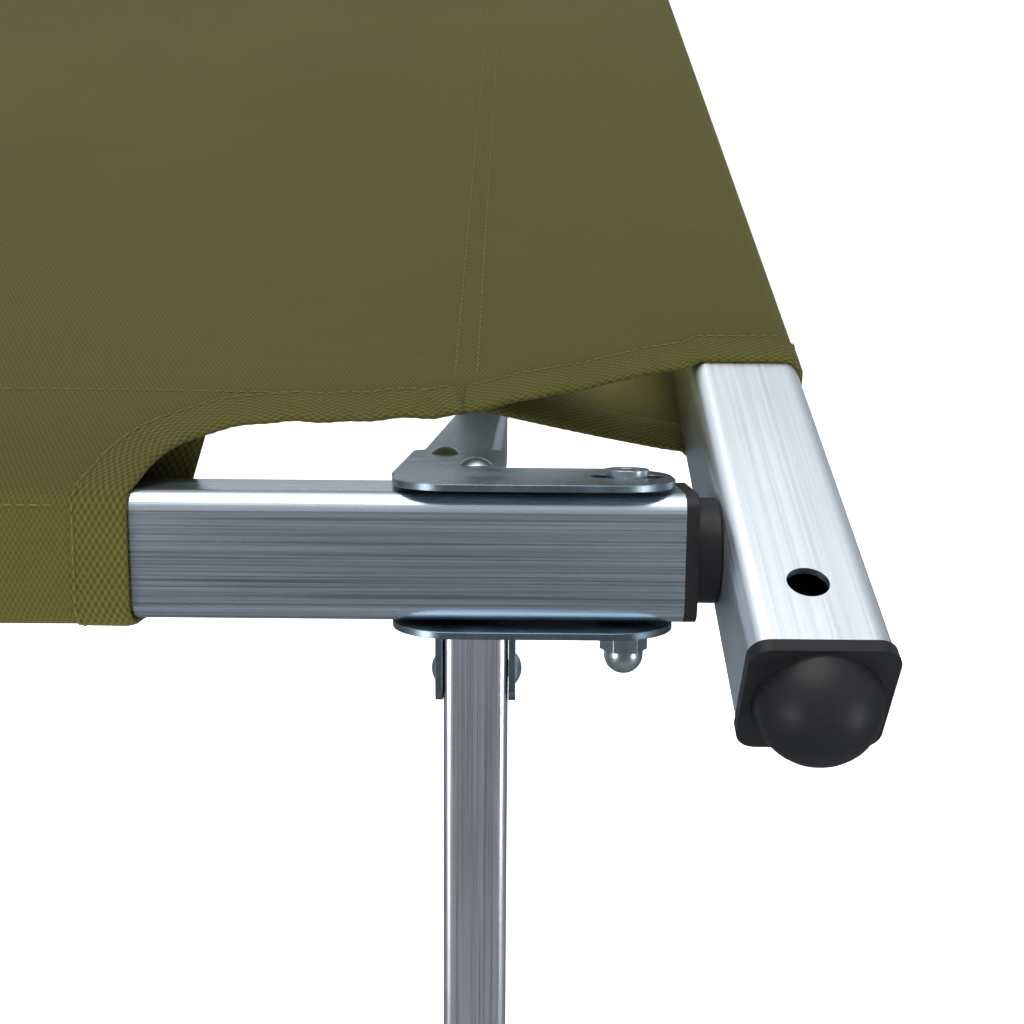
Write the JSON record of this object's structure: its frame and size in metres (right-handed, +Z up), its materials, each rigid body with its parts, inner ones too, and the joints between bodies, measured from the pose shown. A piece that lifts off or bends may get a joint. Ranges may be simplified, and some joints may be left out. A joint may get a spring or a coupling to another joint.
{
  "type": "folding cot",
  "caption": "Folding camp cot: olive fabric sleeved over square aluminium rails and end bars, on V-shaped cross frames with fold-away legs.",
  "frame": {"origin": "on the floor under the middle of the bed", "axes": "+X along the bed towards the head end, -Y the near side, +Z up"},
  "size_m": [1.9042, 0.9736, 0.3797],
  "materials": {
    "brushed_tube": "brushed along the tube, clear anodised",
    "end_bar_tube": "fine satin",
    "arm_tube": "satin",
    "plate_steel": "bluish bright zinc plate",
    "fasteners": "bright zinc plate",
    "black_plastic": "satin moulded black",
    "fabric": "olive woven polyester with taped edges"
  },
  "bodies": {
    "near_frame": {"near_rail_head": "brushed_tube", "near_rail_foot": "brushed_tube", "near_rail_hinge_plates": "plate_steel", "near_rail_hinge_pins": "fasteners", "near_knob_head": "black_plastic", "near_knob_foot": "black_plastic", "near_top_plates": "plate_steel", "near_bottom_plates": "plate_steel", "near_pivot_bolts": "fasteners", "near_spacers": "black_plastic", "near_acorn_nuts": "fasteners", "near_plate_rivets": "fasteners", "near_arm_head": "arm_tube", "near_arm_mid": "arm_tube", "near_arm_foot": "arm_tube", "near_clevises": "plate_steel", "near_leg_pins": "fasteners", "near_side_sleeves": "fabric", "near_hub_plates": "plate_steel", "hub_pins": "fasteners", "bed_panel": "fabric"},
    "far_frame": {"far_rail_head": "brushed_tube", "far_rail_foot": "brushed_tube", "far_rail_hinge_plates": "plate_steel", "far_rail_hinge_pins": "fasteners", "far_knob_head": "black_plastic", "far_knob_foot": "black_plastic", "far_top_plates": "plate_steel", "far_bottom_plates": "plate_steel", "far_pivot_bolts": "fasteners", "far_spacers": "black_plastic", "far_acorn_nuts": "fasteners", "far_plate_rivets": "fasteners", "far_arm_head": "arm_tube", "far_arm_mid": "arm_tube", "far_arm_foot": "arm_tube", "far_clevises": "plate_steel", "far_leg_pins": "fasteners", "far_side_sleeves": "fabric", "far_hub_plates": "plate_steel"},
    "near_leg_head": {"near_leg_head": "arm_tube", "near_foot_cap_head": "black_plastic"},
    "near_leg_mid": {"near_leg_mid": "arm_tube", "near_foot_cap_mid": "black_plastic"},
    "near_leg_foot": {"near_leg_foot": "arm_tube", "near_foot_cap_foot": "black_plastic"},
    "far_leg_head": {"far_leg_head": "arm_tube", "far_foot_cap_head": "black_plastic"},
    "far_leg_mid": {"far_leg_mid": "arm_tube", "far_foot_cap_mid": "black_plastic"},
    "far_leg_foot": {"far_leg_foot": "arm_tube", "far_foot_cap_foot": "black_plastic"},
    "end_bar_head": {"end_bar_head": "end_bar_tube", "end_caps_head": "black_plastic", "head_sleeve": "fabric"},
    "end_bar_foot": {"end_bar_foot": "end_bar_tube", "end_caps_foot": "black_plastic", "foot_sleeve": "fabric"}
  },
  "joints": [
    {"name": "frame_fold", "type": "hinge", "parent": "near_frame", "child": "far_frame", "pos_m": [0, 0, 0.19392], "axis": [1, 0, 0], "range_deg": [0, 120], "deforming": ["bed_panel"]},
    {"name": "near_leg_head_fold", "type": "hinge", "parent": "near_frame", "child": "near_leg_head", "pos_m": [0.8615, -0.30197, 0.2909], "axis": [1, 0, 0], "range_deg": [0, 90]},
    {"name": "near_leg_mid_fold", "type": "hinge", "parent": "near_frame", "child": "near_leg_mid", "pos_m": [-0.0815, -0.30197, 0.2909], "axis": [1, 0, 0], "range_deg": [0, 90]},
    {"name": "near_leg_foot_fold", "type": "hinge", "parent": "near_frame", "child": "near_leg_foot", "pos_m": [-0.8615, -0.30197, 0.2909], "axis": [1, 0, 0], "range_deg": [0, 90]},
    {"name": "far_leg_head_fold", "type": "hinge", "parent": "far_frame", "child": "far_leg_head", "pos_m": [0.8615, 0.30197, 0.2909], "axis": [-1, 0, 0], "range_deg": [0, 90]},
    {"name": "far_leg_mid_fold", "type": "hinge", "parent": "far_frame", "child": "far_leg_mid", "pos_m": [-0.0815, 0.30197, 0.2909], "axis": [-1, 0, 0], "range_deg": [0, 90]},
    {"name": "far_leg_foot_fold", "type": "hinge", "parent": "far_frame", "child": "far_leg_foot", "pos_m": [-0.8615, 0.30197, 0.2909], "axis": [-1, 0, 0], "range_deg": [0, 90]},
    {"name": "end_bar_head_swing", "type": "hinge", "parent": "near_frame", "child": "end_bar_head", "pos_m": [0.9205, -0.325, 0.355], "axis": [-1, 0, 0], "range_deg": [0, 30]},
    {"name": "end_bar_foot_swing", "type": "hinge", "parent": "near_frame", "child": "end_bar_foot", "pos_m": [-0.9205, -0.325, 0.355], "axis": [-1, 0, 0], "range_deg": [0, 30]}
  ],
  "couplings": [
    {"joint": "end_bar_head_swing", "follows": "frame_fold", "ratio": 0.25},
    {"joint": "end_bar_foot_swing", "follows": "frame_fold", "ratio": 0.25}
  ]
}
